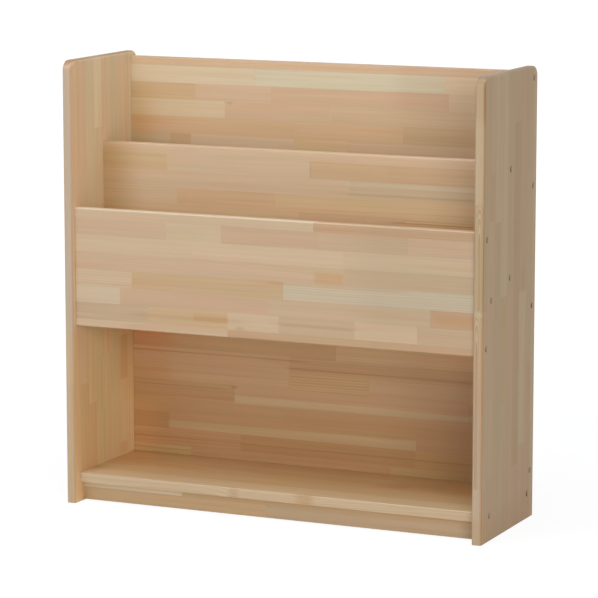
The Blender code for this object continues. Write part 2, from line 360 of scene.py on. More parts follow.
def pine(name, board):
    # A board's wood and the light and shade painted on it, from each point's place along, across and through
    # the board.
    # Rings are the distance to a strip's own pith line, bent by a slow noise; strips meet in finger joints.
    paint = Paint(bpy.data.materials.new(name))
    place = paint.node("ShaderNodeTexCoord").out("Object")
    xyz = paint.node("ShaderNodeSeparateXYZ", None, {0: place})
    normal = paint.node("ShaderNodeSeparateXYZ", None, {0: place.out("Normal")})
    along, across, through = [(xyz.out(axis) - start) * (1000 * way) for axis, start, way in board["ways"]]

    # rows and strips
    pitch = board["pitch"]
    shifted = (across + (pitch - board["first"])) / pitch
    row = paint.floor(shifted)
    inRow = (paint.fraction(shifted) - 0.5) * pitch
    rows = stripRows(board)
    teeth = paint.maths("PINGPONG", through, grain["fingerPitch"])
    jointed = along + teeth * (grain["fingerReach"] / grain["fingerPitch"])
    tag = stripTag(paint, jointed, row, board, rows)
    nextTag = stripTag(paint, jointed + grain["jointWidth"], row, board, rows)
    palette = [(index / len(woods), tinted(wood, board["tint"])) for index, wood in enumerate(woods.values())]
    colour = paint.node("ShaderNodeValToRGB", {"stops": palette}, {0: tag})
    # rounded, because the row before it leaves a trace in a tag's last digits
    label = paint.maths("ROUND", tag * draws["tagSteps"]) * draws["tagStride"] + row * draws["rowStride"]
    dots = paint.node("ShaderNodeTexWhiteNoise", {"noise_dimensions": "1D"}, {"W": label})
    seeds = paint.node("ShaderNodeSeparateColor", None, {0: dots.out("Color")})
    first, second, third = seeds.out(0), seeds.out(1), seeds.out(2)
    offset = first * draws["offsetReach"] + row * draws["rowOffset"]

    def figure(kind):
        length, side, detail, alongShift, throughShift = figures[kind]
        depth = through / side + offset * throughShift if throughShift else through / side
        return paint.noise(along / length + offset * alongShift, across / side, depth, detail)

    wave = figure("wave") - 0.5
    drift = (figure("drift") - 0.5) * grain["drift"]

    # knots, each in its own strip only
    knotHalo = 0.0
    knotCore = 0.0
    knotBend = 0.0
    for knotAlong, knotAcross, radius, halo, core in board["knots"]:
        knotRow = math.floor((knotAcross + pitch - board["first"]) / pitch)
        sameRow = paint.maths("COMPARE", row, knotRow, 0.5)
        fromKnot = paint.root(((along - knotAlong) * grain["knotStretch"]) ** 2 + (across - knotAcross) ** 2)
        spread = [radius * share for share in grain["knotHalo"]]
        knotHalo = knotHalo + (1 - paint.smooth(fromKnot, *spread)) * sameRow * halo
        spread = [radius * share for share in grain["knotCore"]]
        knotCore = knotCore + (1 - paint.smooth(fromKnot, *spread)) * sameRow * core
        knotBend = knotBend + radius * sameRow / (1 + (fromKnot / (radius * grain["knotReach"])) ** 2)

    # rings
    flat = third > grain["flatSawn"]
    nearest, further = grain["pithAside"]
    beside = (nearest + first * further) * (1 - grain["flatCentred"] * flat)
    aside = inRow + beside + wave * grain["wave"] + drift
    nearest, further = grain["pithBelow"]
    below = through + nearest + second * further + drift + (first - 0.5) * grain["lean"] * along
    spacing = grain["ringNarrow"] + third * grain["ringSpread"]
    ringed = grain["plainRings"] + (1 - grain["plainRings"]) * paint.smooth(second, *grain["ringy"])
    for ringedRow, begin, finish, gap, share in board["ringed"]:
        here = paint.maths("COMPARE", row, ringedRow, 0.5) * (jointed > begin) * (jointed < finish)
        ringed = ringed + (share - ringed) * here
        spacing = spacing + (gap - spacing) * here
    heartwood = 0.0
    for heartRow, begin, finish, apex, radius, gap, offside in board["hearts"]:
        # the pith comes up to the front edge, halving its depth step by step: each ring ends in an arch
        here = paint.maths("COMPARE", row, heartRow, 0.5)
        here = here * paint.smooth(jointed, begin, begin + grain["heartOnset"])
        here = here * (jointed < finish) * (normal.out("Y") < grain["edgeTurn"])
        depth = 2.0 ** ((apex - along) / grain["heartHalving"]) * radius
        aside = aside + (depth + wave - aside) * here
        below = below + (through - offside + wave * grain["heartSway"] - below) * here
        spacing = spacing + (gap - spacing) * here
        ringed = ringed + (grain["heartRings"] - ringed) * here
        heartwood = heartwood + here
    fromPith = paint.root(aside * aside + below * below)
    rings = (fromPith + knotBend) / spacing
    turn = paint.fraction(rings)
    yearLabel = {"W": paint.floor(rings) + label}
    years = paint.node("ShaderNodeTexWhiteNoise", {"noise_dimensions": "1D"}, yearLabel)
    lateWood = paint.smooth(turn, *grain["lateRise"]) * (1 - paint.smooth(turn, *grain["lateFall"]))
    strength = paint.maths("MAXIMUM", years, heartwood)
    lateWood = lateWood * (grain["faintYear"] + (1 - grain["faintYear"]) * strength) * ringed

    # fibres, resin and glue lines
    fibre = figure("fibre") - 0.5
    cloud = figure("cloud") - 0.5
    veil = figure("veil") - 0.5
    hue = figure("hue")
    thread = paint.smooth(figure("thread"), *grain["threadFrom"]) * grain["threadShare"]
    for begin, finish, at, width, share in board["resin"]:
        away = abs(across - at + wave * grain["resinSway"])
        ends = paint.between(along, begin, finish, grain["resinEnds"])
        line = (1 - paint.smooth(away, width * grain["resinCore"], width)) * ends * share
        thread = paint.maths("MAXIMUM", thread, line)
    edgeOfRow = 1 - paint.smooth(0.5 * pitch - abs(inRow), *grain["glueWidth"])
    joint = abs(tag - nextTag) > draws["tagApart"]
    seam = paint.maths("MAXIMUM", edgeOfRow, joint * grain["jointShare"])
    endGrain = paint.smooth(abs(normal.out(board["ways"][0][0])), *grain["endGrainTurn"])

    # the colour of the wood itself
    tone = 1 + (second - 0.5) * grain["stripTone"]
    tone = tone + cloud * grain["cloud"] + veil * grain["veil"] + fibre * grain["fibre"]
    tone = tone - seam * grain["glueLine"]
    colour = paint.mix(1.0, colour, paint.grey(tone), "MULTIPLY")
    streaks = board["streaks"]
    rosy = paint.smooth(hue, *grain["blushFrom"])
    colour = paint.stain(rosy * (grain["blushShare"] * streaks), colour, grain["blush"])
    greenish = 1 - paint.smooth(hue, *grain["oliveFrom"])
    colour = paint.stain(greenish * (grain["oliveShare"] * streaks), colour, grain["olive"])
    for begin, finish, at, startWidth, endWidth, share in board["sapwood"]:
        # a pale band that runs along the strip and narrows towards one end
        width = startWidth + (along - begin) * ((endWidth - startWidth) / (finish - begin))
        away = abs(across - at + wave * grain["sapwoodSway"]) / width
        band = (1 - paint.smooth(away, grain["sapwoodCore"], 1.0)) * (jointed > begin) * (jointed < finish)
        colour = paint.stain(band * share, colour, grain["sapwood"])
    colour = paint.stain(lateWood * grain["lateShare"], colour, grain["lateWood"])
    colour = paint.stain(thread, colour, grain["resin"])
    if board["hearts"]:
        pith = (1 - paint.smooth(fromPith, *grain["pithRing"])) * heartwood
        colour = paint.stain(pith * grain["pithShare"], colour, grain["resin"])
    if board["knots"]:
        colour = paint.stain(knotHalo, colour, grain["resin"])
        colour = paint.mix(knotCore, colour, linear(grain["knot"]))
    colour = paint.stain(endGrain, colour, grain["endGrain"])

    # painted light and shade: by facing, in soft areas from the lamps and neighbouring boards, some of which
    # are the wood's own tone, and round the plugs
    # painted light and shade on the faces that look one way
    for direction, tint in board["faces"]:
        facing = paint.smooth(towards(normal, direction), *grain["faceTurn"])
        colour = paint.stain(facing, colour, (*tint, 1.0))
    shown = paint.smooth(towards(normal, board["shows"]), *grain["hiddenTurn"])
    # soft areas of painted light and shade, some of them the wood's own tone
    for left, right, top, bottom, soft, tint in board["paintedLightAndTone"]:
        area = paint.between(along, left, right, soft) * paint.between(across, top, bottom, soft) * shown
        colour = paint.stain(area, colour, (*tint, 1.0))
    for plugY, plugZ in board["plugs"]:
        # painted shade, a crescent: outside the plug's own circle, inside one that lies a little further
        # forward
        bore = board["boreRadius"]
        fore = xyz.out("Y") - plugY
        up = (xyz.out("Z") - plugZ) ** 2
        fromPlug = paint.root(fore ** 2 + up) * 1000
        fromBore = paint.root((fore + plugShade["forward"] / 1000) ** 2 + up) * 1000
        outside = paint.smooth(fromPlug, bore - plugShade["rim"], bore)
        inside = 1 - paint.smooth(fromBore, bore + plugShade["from"], bore + plugShade["to"])
        colour = paint.stain(outside * inside, colour, plugShade["shadow"])

    inLate, inFibre, inGlue = grain["relief"]
    height = 0.5 - lateWood * inLate + fibre * inFibre - seam * inGlue
    inLate, inFibre, inGlue, inEnd = grain["dulled"]
    roughness = board["roughness"] + lateWood * inLate + fibre * inFibre + seam * inGlue + endGrain * inEnd
    return paint.finish(colour, roughness, height, grain["reliefDepth"], grain["wax"])


def towards(normal, direction):
    # how far a surface faces a direction: 1 straight at it, 0 sideways, -1 away
    x, y, z = direction
    return normal.out("X") * x + normal.out("Y") * y + normal.out("Z") * z


meshing = {
    "merge": 0.000001,
    "smoothAngle": 32,  # edges that turn more than this stay sharp
    "faceWeight": 100,
}


def gridFaces(rows, columns):
    # the quads between neighbouring points of a grid whose last column meets its first
    index = np.arange(rows * columns).reshape(rows, columns)
    across = np.roll(index, -1, 1)
    return np.stack([index[:-1], across[:-1], across[1:], index[1:]], -1).reshape(-1, 4)


def addSurface(name, points, smoothAngle=meshing["smoothAngle"]):
    # points is a grid (rows, columns, 3) whose columns close into rings; its first and last ring are capped
    rows, columns = points.shape[:2]
    faces = gridFaces(rows, columns).tolist()
    faces += [list(range(columns)), list(range((rows - 1) * columns, rows * columns))]
    mesh = bpy.data.meshes.new(name)
    mesh.from_pydata(points.reshape(-1, 3).tolist(), [], faces)
    tidy = bmesh.new()
    tidy.from_mesh(mesh)
    bmesh.ops.remove_doubles(tidy, verts=tidy.verts, dist=meshing["merge"])
    bmesh.ops.dissolve_degenerate(tidy, edges=tidy.edges, dist=meshing["merge"])
    bmesh.ops.recalc_face_normals(tidy, faces=tidy.faces)
    tidy.to_mesh(mesh)
    tidy.free()
    mesh.shade_smooth()
    mesh.set_sharp_from_angle(angle=math.radians(smoothAngle))
    piece = bpy.data.objects.new(name, mesh)
    bpy.context.scene.collection.objects.link(piece)
    return piece


def applyModifiers(piece):
    shown = piece.evaluated_get(bpy.context.evaluated_depsgraph_get())
    mesh = bpy.data.meshes.new_from_object(shown)
    piece.modifiers.clear()
    piece.data = mesh


def cutAway(piece, cutters):
    for cutter in cutters:
        cut = piece.modifiers.new(cutter.name, "BOOLEAN")
        cut.operation = "DIFFERENCE"
        cut.solver = "EXACT"
        cut.object = cutter
    applyModifiers(piece)
    piece.data.shade_smooth()
    piece.data.set_sharp_from_angle(angle=math.radians(meshing["smoothAngle"]))
    # the wide faces keep their own normal, and only the rounded edges turn
    weighted = piece.modifiers.new("weighted normals", "WEIGHTED_NORMAL")
    weighted.mode = "FACE_AREA"
    weighted.weight = meshing["faceWeight"]
    weighted.keep_sharp = True
    applyModifiers(piece)


def panelOutline(low, high, corner, inset, steps):
    # A tall rectangle with round top corners, drawn in by inset at the front, top and rear but not at
    # the foot: up the front, a quarter circle of radius corner - inset, along the top, a quarter circle
    # and down.
    turn = np.linspace(0, math.pi / 2, steps + 1)
    radius = corner - inset
    front, rear, top = low[1] + corner, high[1] - corner, high[2] - corner
    frontArc = np.stack([front - radius * np.cos(turn), top + radius * np.sin(turn)], -1)
    rearArc = np.stack([rear + radius * np.sin(turn), top + radius * np.cos(turn)], -1)
    foot = np.array([[low[1] + inset, low[2]]])
    heel = np.array([[high[1] - inset, low[2]]])
    return np.concatenate([foot, frontArc, rearArc, heel])


def panelSurface(name, low, high, shape):
    # the outline carried round the edge: in and out along a quarter circle at each face
    turn = np.linspace(0, math.pi / 2, shape["edgeSteps"] + 1)
    edge = shape["edgeRound"]
    insets = edge * (1 - np.sin(turn))
    rises = edge * (1 - np.cos(turn))
    steps = list(zip(insets, low[0] + rises)) + list(zip(insets[::-1], high[0] - rises[::-1]))
    rings = []
    for inset, x in steps:
        outline = panelOutline(low, high, shape["corner"], inset, shape["cornerSteps"])
        rings.append(np.column_stack([np.full(len(outline), x), outline]))
    return addSurface(name, np.array(rings))


def boardSurface(name, low, high, shape):
    # a rectangle with a quarter circle at each rounded corner, carried along the board
    turn = np.linspace(0, math.pi / 2, shape["edgeSteps"] + 1)
    corners = []
    for number, (y, z) in enumerate([(1, 1), (-1, 1), (-1, -1), (1, -1)]):
        radius = shape["edgeRound"] if (y, z) in shape["rounded"] else 0.0
        centreY = (high[1] if y > 0 else low[1]) - y * radius
        centreZ = (high[2] if z > 0 else low[2]) - z * radius
        angle = turn + number * math.pi / 2
        corners.append(np.stack([centreY + radius * np.cos(angle), centreZ + radius * np.sin(angle)], -1))
    profile = np.concatenate(corners)
    rings = [np.column_stack([np.full(len(profile), x), profile]) for x in (low[0], high[0])]
    return addSurface(name, np.array(rings))


def ringSurface(name, radius, reach, angle, place, axis, smoothAngle=meshing["smoothAngle"]):
    # each row is a ring round the axis through place: a radius and a reach along the axis for each angle
    sides = {"x": (1, 2, 0), "y": (0, 2, 1), "z": (0, 1, 2)}[axis[-1]]
    way = -1 if axis[0] == "-" else 1
    points = np.empty((*(radius * angle).shape, 3))
    for side, distance in zip(sides, (radius * np.cos(angle), radius * np.sin(angle), reach * way)):
        points[..., side] = place[side] + distance
    return addSurface(name, points, smoothAngle)


def turned(name, profile, place, axis, sides):
    # each (radius, reach) of the profile becomes a ring of that radius, that far along the axis from place
    radius, reach = np.array(profile, float).T[:, :, None]
    return ringSurface(name, radius, reach, np.arange(sides) * (math.tau / sides), place, axis)


joinery = {
    "gap": 0.0003,
    "recess": 0.0002,
    "plugRadius": 0.0050,
    "plugLength": 0.0060,
    "plugRound": 0.0003,
    "plugChamfer": 0.00075,
    "holeRound": 0.0004,
    "holeFlare": 0.0020,
    "holeClear": 0.0040,
    "plugSides": 48,
    "headRadius": 0.0045,
    "headRim": 0.0005,
    "headRings": 9,
    "shankRadius": 0.00225,
    "shankStep": 0.0005,
    "coreRadius": 0.00155,
    "screwLength": 0.050,
    "pointLength": 0.007,
    "threadPitch": 0.0024,
    "threadSharp": 1.8,
    "plainShank": 0.014,
    "crossReach": 0.0021,
    "crossHalf": 0.00055,
    "crossDepth": 0.0019,
    "screwSides": 20,
    "screwSmooth": 60,
    "threadRows": 130,
    "dowelFlutes": 14,
    "fluteSteps": 6,
    "fluteDepth": 0.00025,
    "dowelChamfer": 0.0010,
    "dowelSmooth": 40,
    "boreSides": 32,
}

# What a board has unless it says otherwise. Its notes count millimetres along it, from its left or
# upper end, and across it, from its upper or front edge. Its strips are as wide as its pitch, the
# first as first. Rounded edges are named by front (-1) or rear (1), then by lower (-1) or upper (1).
# A tint is a share of each colour.
plainBoard = {
    "edgeRound": 0.003,
    "edgeSteps": 6,
    "upright": True,
    "roughness": 0.50,
    "shows": (0, -1, 0),  # where its good side faces: the painted light, shade and tone areas stay off the hidden side
    "streaks": 1.0,  # how strong the rosy and greenish streaks are
    "strips": {},  # for a row: wood, the length at which it ends, next wood
    "usual": ["tan", "honey", "blush"],  # what the other rows are drawn from
    "faces": [],  # direction, tint of the faces that look there: painted light and shade
    "paintedLightAndTone": [],  # from, to, upper edge, lower edge, softness, tint: painted light and shade from a neighbour or the lamps, or the wood's own tone
    "knots": [],  # along, across, radius, share of its halo and of its core
    "ringed": [],  # row, from, to, gap between rings, how much of them shows
    "hearts": [],  # row, from, to, the arch's place and radius, gap between rings, how far aside
    "resin": [],  # from, to, across, width, share
    "sapwood": [],  # from, to, across, width at either end, share
    "plugs": [],
}

sidePanels = {
    "corner": 0.020,
    "edgeRound": 0.005,
    "cornerSteps": 20,
    "edgeSteps": 8,
    "pitch": 34.3,
    "first": 27,
    "length": 900,
    "width": 290,
    "usual": ["cream", "tan", "blush", "honey"],
    "shows": (1, 0, 0),
}

rightPanel = {
    "seed": 7,
    "streaks": 1.5,
    "tint": (0.76, 0.835, 0.96),
    # painted shade on the outer face and its front round-over, painted warm bounced light on the inner face
    "faces": [
        ((1, 0, 0), (0.856, 0.735, 0.535)), ((0.7, -0.7, 0), (0.93, 0.81, 0.64)),
        ((-1, 0, 0), (1.05, 0.98, 0.84)),
    ],
    # painted shade towards the foot; the others are patches and a band of the wood's own tone
    "paintedLightAndTone": [
        (830, 1200, -300, 600, 40, (0.97, 0.91, 0.8)), (375, 450, 198, 236, 26, (0.93, 0.83, 0.66)),
        (570, 650, 234, 268, 26, (0.94, 0.86, 0.72)), (700, 790, 166, 200, 30, (0.96, 0.87, 0.7)),
        (-40, 640, -10, 14, 8, (1.03, 0.98, 0.88)),
    ],
    "strips": {
        0: "tan 447 blush 793 rose", 1: "blush 187 rose 281 blush 780 rose", 2: "cream 287 tan",
        3: "cream 433 honey 640 tan", 4: "tan 420 rose", 5: "rose 103 amber 780 rose",
        6: "rose 437 cream 742 rose", 7: "rose 205 tan 590 rose", 8: "cream",
    },
    "hearts": [(0, 240, 447, 249, 8.1, 2.7, 1.5), (0, 455, 793, 470, 5.4, 2.7, -2)],
    "resin": [(-60, 110, 2.6, 3.6, 1)],
    "ringed": [(3, 433, 640, 6, 0.4)],
}

leftPanel = {
    "seed": 31,
    "tint": (0.96, 0.96, 0.94),
    # the front edge tinted cooler, painted light on the inner face, painted shade on the round-over between
    # front edge and inner face
    "faces": [
        ((0, -1, 0), (0.875, 1.05, 1.32)), ((1, 0, 0), (1.19, 1.28, 1.35)),
        ((0.7, -0.7, 0), (0.82, 0.77, 0.74)),
    ],
    # painted light and shade: darker near the front, warmer and lighter in the lower bay
    "paintedLightAndTone": [
        (-300, 1200, -300, 80, 50, (0.97, 0.93, 0.9)), (520, 1300, -300, 600, 60, (1.06, 1.0, 0.84)),
        (640, 1300, 110, 600, 90, (1.13, 1.14, 1.18)), (560, 1300, 22, 64, 18, (0.96, 1.04, 1.13)),
        (560, 740, 198, 600, 20, (0.99, 0.93, 0.85)), (650, 1300, -300, 8, 10, (0.94, 0.96, 0.95)),
    ],
    "strips": {
        0: "rose", 1: "rose 663 amber", 2: "tan 709 amber", 3: "cream 147 tan 618 tan 728 tan",
        4: "rose 618 tan", 5: "tan", 6: "rose 590 amber 680 tan 815 amber 840 tan", 7: "tan",
    },
}

frontBoard = {
    "slot": "pine_front",
    "rounded": [(1, 1), (-1, 1), (-1, -1), (1, -1)],
    "pitch": 34.2,
    "first": 19,
    "roughness": 0.46,
    "tint": (0.845, 0.84, 0.88),
    # painted highlight on the top edge and its round-over
    "faces": [((0, 0, 1), (1.09, 1.19, 1.3)), ((0, -0.7, 0.7), (1.09, 1.2, 1.32))],
    # painted shade over the right half; the small ones are patches of the wood's own tone
    "paintedLightAndTone": [
        (560, 1300, -200, 260, 120, (0.93, 0.94, 0.94)), (520, 593, 92, 125, 12, (0.95, 0.87, 0.7)),
        (772, 900, 160, 188, 12, (1.02, 0.93, 0.8)), (260, 342, 195, 216, 8, (0.97, 0.89, 0.75)),
        (-40, 102, 155.5, 190, 0.5, (0.99, 1.06, 1.12)),
    ],
    "strips": {
        0: "cream 527 amber", 1: "blush 206 cream 328 rose 537 tan 722 blush",
        2: "cream 264 cream 590 cream", 3: "blush 593 tan", 4: "cream 128 honey 462 pale",
        5: "cream 102 rose 430 tan 772 amber", 6: "tan 165 honey 342 cream 453 tan 612 cream 744 tan",
        7: "cream 342 amber",
    },
    "knots": [(365, 221, 5, 0.4, 0.06)],
    "ringed": [
        (1, 206, 328, 4, 0.1), (2, 0, 900, 5, 0.2), (5, 430, 772, 5, 0.1), (6, 0, 165, 5, 0.7),
        (6, 165, 342, 5, 0.3),
    ],
    "resin": [(100, 400, 207, 7, 0.3), (420, 640, 205, 5, 0.42), (400, 740, 125, 5.5, 0.32)],
}

middleBoard = {
    "slot": "pine_middle",
    "rounded": [(1, 1), (-1, 1)],
    "pitch": 34.2,
    "first": 19,
    "roughness": 0.48,
    "tint": (0.92, 0.955, 1.0),
    # painted shade on the top edge and its round-over
    "faces": [((0, 0, 1), (0.9, 0.88, 0.9)), ((0, -0.7, 0.7), (0.88, 0.86, 0.88))],
    # painted shade at the left end, cast by the left panel, and lighter lower down; the sharp ones are
    # strips' own tone
    "paintedLightAndTone": [
        (-300, 100, -60, 400, 95, (0.86, 0.78, 0.62)), (-300, 1200, 80, 400, 20, (1.11, 1.09, 1.1)),
        (463, 626, 19, 53.2, 0.5, (1.06, 1.04, 1.03)), (168, 388, 87.4, 121.6, 0.5, (1.05, 1.05, 1.06)),
    ],
    "usual": ["blush", "tan", "honey"],
    "strips": {
        0: "blush", 1: "honey 145 blush 463 amber 626 amber", 2: "blush 545 tan",
        3: "tan 168 amber 388 honey", 4: "honey 438 amber 665 honey",
    },
    "resin": [(610, 950, 131.5, 2.4, 0.9), (500, 950, 80, 3, 0.4)],
    "ringed": [(4, 665, 900, 4.5, 1.8), (3, 0, 168, 5, 0.7)],
    "sapwood": [(545, 900, 60, 4.5, 4.5, 0.5)],
}

backBoard = {
    "slot": "pine_back",
    "rounded": [(1, 1), (-1, 1)],
    "pitch": 34.5,
    "first": 17,
    "roughness": 0.48,
    "tint": (0.98, 1.02, 1.05),
    # painted shade on the top edge and its round-over
    "faces": [((0, 0, 1), (0.8, 0.8, 0.82)), ((0, -0.7, 0.7), (0.72, 0.7, 0.7))],
    # painted shade and warm bounced light behind the lower bay, painted shade beside the side panels; the
    # sharp ones are strips' own tone
    "paintedLightAndTone": [
        (-300, 1200, 330, 1000, 80, (1.11, 0.965, 0.79)),
        (-300, 1200, 575, 1000, 60, (0.84, 0.87, 0.905)),
        (-300, 1200, 640, 1000, 100, (0.85, 0.77, 0.66)), (-300, 85, 40, 400, 80, (0.92, 0.85, 0.7)),
        (-300, 130, 420, 660, 90, (1.05, 0.82, 0.74)), (-300, 90, 680, 1000, 80, (1.22, 1.15, 1.12)),
        (640, 1200, 420, 700, 90, (1.15, 1.14, 1.12)), (-300, 1200, 500, 610, 40, (1.0, 1.05, 1.06)),
        (-40, 283, 16.5, 51.5, 0.5, (0.95, 1.0, 1.05)), (-40, 1200, 51.5, 86, 0.5, (0.96, 0.93, 0.935)),
        (450, 1200, 86, 120.5, 0.5, (0.92, 0.9, 0.86)), (-40, 610, 120.5, 155, 0.5, (1.03, 0.965, 1.0)),
        (-300, 110, 118, 148, 22, (1.0, 0.93, 0.86)), (570, 1200, -300, 112, 50, (0.95, 0.92, 0.91)),
        (-300, 100, 622, 690, 34, (0.98, 0.89, 0.76)), (330, 800, 706, 755, 24, (0.97, 0.94, 0.89)),
    ],
    "usual": ["rose", "blush", "honey", "tan"],
    "strips": {
        0: "rose", 1: "cream 283 pale 700 cream", 2: "honey 150 blush 320 rose 706 cream",
        3: "cream 216 rose 450 blush", 4: "honey 370 honey 610 amber",
        5: "tan 93 amber 140 blush 371 honey 490 rose", 17: "amber 465 rose", 18: "rose 360 amber",
        19: "rose 360 honey 540 rose", 20: "amber 238 rose 752 amber", 21: "honey 88 rose 752 honey",
        22: "amber 85 rose 643 rose", 23: "rose 250 amber 640 honey", 24: "honey 137 rose 588 honey",
    },
    "knots": [(225, 88, 5, 0.3, 0.08), (233, 677, 4.5, 0.4, 0.15)],
    "ringed": [
        (1, -40, 283, 4, 0.15), (2, 320, 706, 4, 0.25), (3, 450, 900, 4, 0.25), (19, 360, 540, 5.5, 2),
        (24, 0, 137, 4.5, 0.5), (22, 0, 85, 4, 0.8),
    ],
    "sapwood": [
        (238, 860, 702, 10, 6, 1), (85, 643, 766, 9, 12, 1), (465, 860, 600, 8, 5, 0.4),
        (0, 137, 814.5, 3.5, 3.5, 1), (0, 137, 825, 4, 4, 1), (588, 900, 822, 9, 12, 0.6),
    ],
    "resin": [
        (-60, 420, 612, 2.4, 0.8), (330, 920, 628, 2.6, 0.7), (-60, 240, 683, 2, 0.6),
        (-60, 860, 795, 2.2, 0.5),
    ],
}

pocketFloor = {
    "slot": "pine_floor",
    "edgeRound": 0,
    "rounded": [],
    "pitch": 34.4,
    "first": 24,
    "upright": False,
    "tint": (0.96, 0.98, 0.97),
    "shows": (0, 0, 1),
}

bottomShelf = {
    "slot": "pine_shelf",
    "rounded": [(-1, 1), (-1, -1)],
    "pitch": 34,
    "first": 22,
    "upright": False,
    "roughness": 0.46,
    "tint": (1.06, 1.01, 0.88),
    "shows": (0, 0, 1),
    # painted shade on the front edge and its upper round-over
    "faces": [((0, -1, 0), (0.84, 0.83, 0.86)), ((0, -0.7, 0.7), (0.92, 0.92, 0.95))],
    # painted light and shade over the top, from front to rear
    "paintedLightAndTone": [
        (-300, 1200, 60, 230, 40, (1.1, 1.11, 1.16)), (-300, 1200, -300, 70, 40, (0.92, 0.99, 1.12)),
        (-300, 110, 110, 400, 90, (1.16, 1.12, 1.05)), (-300, 30, 20, 92, 26, (0.88, 0.79, 0.67)),
        (600, 1200, 105, 215, 40, (0.95, 0.89, 0.83)),
    ],
    "usual": ["tan", "honey", "cream"],
    "strips": {
        0: "cream 345 cream 700 cream", 1: "cream 430 cream", 2: "tan 345 honey 430 tan",
        3: "tan 120 honey 155 tan", 4: "honey 600 amber 665 honey", 5: "tan 730 honey",
        6: "honey 150 amber", 7: "amber",
    },
    "knots": [(500, 0, 9, 0.6, 0), (345, 0, 5, 0.4, 0)],
    "ringed": [(0, 0, 900, 4, 0.9)],
}

plinth = {
    "slot": "pine_plinth",
    "edgeRound": 0.0015,
    "rounded": [(-1, -1), (1, -1)],
    "pitch": 34,
    "first": 11.7,
    "tint": (0.8, 0.79, 0.78),
    "strips": {0: "pale 222 honey", 1: "honey 410 tan"},
    # the pale top sliver's own tone
    "paintedLightAndTone": [(-40, 222, -3, 11.7, 0.5, (1.24, 1.22, 1.25))],
}

crossBoards = {
    "front_board": frontBoard, "middle_board": middleBoard, "back_board": backBoard,
    "pocket_floor": pocketFloor, "bottom_shelf": bottomShelf, "plinth": plinth,
}


def dressed(piece, node, material):
    # the piece takes the CAD node's place, on its only body
    piece.data.materials.clear()
    piece.data.materials.append(material)
    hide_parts(node)
    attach(piece, "root")


def holeProfile(shape):
    # from outside: clear air, a soft rim, the plug's bore, the screw's countersink and its clearance hole
    gap = shape["gap"]
    bore = shape["plugRadius"] + gap
    head = shape["headRadius"] + gap
    shank = shape["shankRadius"] + gap
    headTop = shape["recess"] + shape["plugLength"] + gap + shape["headRim"]
    coneEnd = headTop + shape["headRadius"] - shape["shankRadius"]
    end = headTop - shape["headRim"] + shape["screwLength"] + gap
    rim = shape["holeRound"]
    return [
        (0, shape["holeClear"]), (bore + rim + shape["holeFlare"], shape["holeFlare"]), (bore + rim, 0),
        (bore, -rim), (bore, -headTop), (head, -headTop), (shank, -coneEnd), (shank, -end), (0, -end),
    ]


def plugProfile(shape):
    # a flat face, a small round drawn with one point on its middle, and a chamfer at the inner end
    face = -shape["recess"]
    back = face - shape["plugLength"]
    edge = shape["plugRound"]
    middle = edge * 0.3
    chamfer = shape["plugChamfer"]
    radius = shape["plugRadius"]
    return [
        (0, face), (radius - edge, face), (radius - middle, face - middle), (radius, face - edge),
        (radius, back + chamfer), (radius - chamfer, back), (0, back),
    ]


def screwSurface(name, shape, place, axis):
    # Polar rows: a head whose top sinks in a cross, a cone, then a shank whose radius climbs where the
    # height over the pitch less the turn is near a whole number, and a point. The cross has sloping
    # sides, and full depth inside half its reach.
    sides = shape["screwSides"]
    angle = np.arange(sides) * (math.tau / sides)
    around = 0 * angle
    shank, pitch = shape["shankRadius"], shape["threadPitch"]
    top = -(shape["recess"] + shape["plugLength"] + shape["gap"])
    head = np.linspace(0, shape["headRadius"], shape["headRings"])[:, None]
    side = np.minimum(np.abs(head * np.cos(angle)), np.abs(head * np.sin(angle)))
    inCross = np.clip((shape["crossHalf"] * 1.5 - side) / shape["crossHalf"], 0, 1)
    inCross = inCross * np.clip((shape["crossReach"] - head) / shape["crossReach"] * 2, 0, 1)
    coneTop = top - shape["headRim"]
    coneEnd = coneTop - (shape["headRadius"] - shank)
    cone = np.array([[shape["headRadius"], coneTop], [shank, coneEnd]])
    threadStart = coneEnd - shape["plainShank"]
    end = top - shape["screwLength"]
    height = np.linspace(threadStart, end, shape["threadRows"])[:, None]
    taper = np.clip((height - end) / shape["pointLength"], 0.0, 1.0)
    climb = 1 - np.abs(2 * ((height / pitch - angle / math.tau) % 1) - 1)
    crest = np.clip(1 - (1 - climb) * shape["threadSharp"], 0, 1)
    start = np.clip((threadStart - height) / pitch, 0, 1)
    core = shape["coreRadius"] + (shank - shape["coreRadius"]) * (1 - start)
    thread = core + (shank - core) * crest
    radius = np.concatenate([
        head + around, cone[:, :1] + around, shank + around[None], thread * taper,
    ])
    reach = np.concatenate([
        top - inCross * shape["crossDepth"], cone[:, 1:] + around,
        threadStart + shape["shankStep"] + around[None], height + around,
    ])
    return ringSurface(name, radius, reach, angle, place, axis, shape["screwSmooth"])


def dowelSurface(name, low, high, shape):
    # a rod along its longest side whose radius dips once for each flute, with its two ends chamfered
    size = high - low
    lengthwise = int(np.argmax(size))
    length = size[lengthwise]
    radius = float(np.sort(size)[0] / 2)
    chamfer = shape["dowelChamfer"]
    sides = shape["dowelFlutes"] * shape["fluteSteps"]
    angle = np.arange(sides) * (math.tau / sides)
    flute = shape["fluteDepth"] * np.clip(np.cos(angle * shape["dowelFlutes"]) * 2 - 1, 0, 1)
    inset = np.array([radius, chamfer, 0, 0, chamfer, radius])[:, None]
    reach = np.array([0, 0, chamfer, length - chamfer, length, length])[:, None]
    rim = np.clip(radius - flute - inset, 0, None)
    place = (low + high) / 2
    place[lengthwise] = low[lengthwise]
    return ringSurface(name, rim, reach, angle, place, "xyz"[lengthwise], shape["dowelSmooth"])


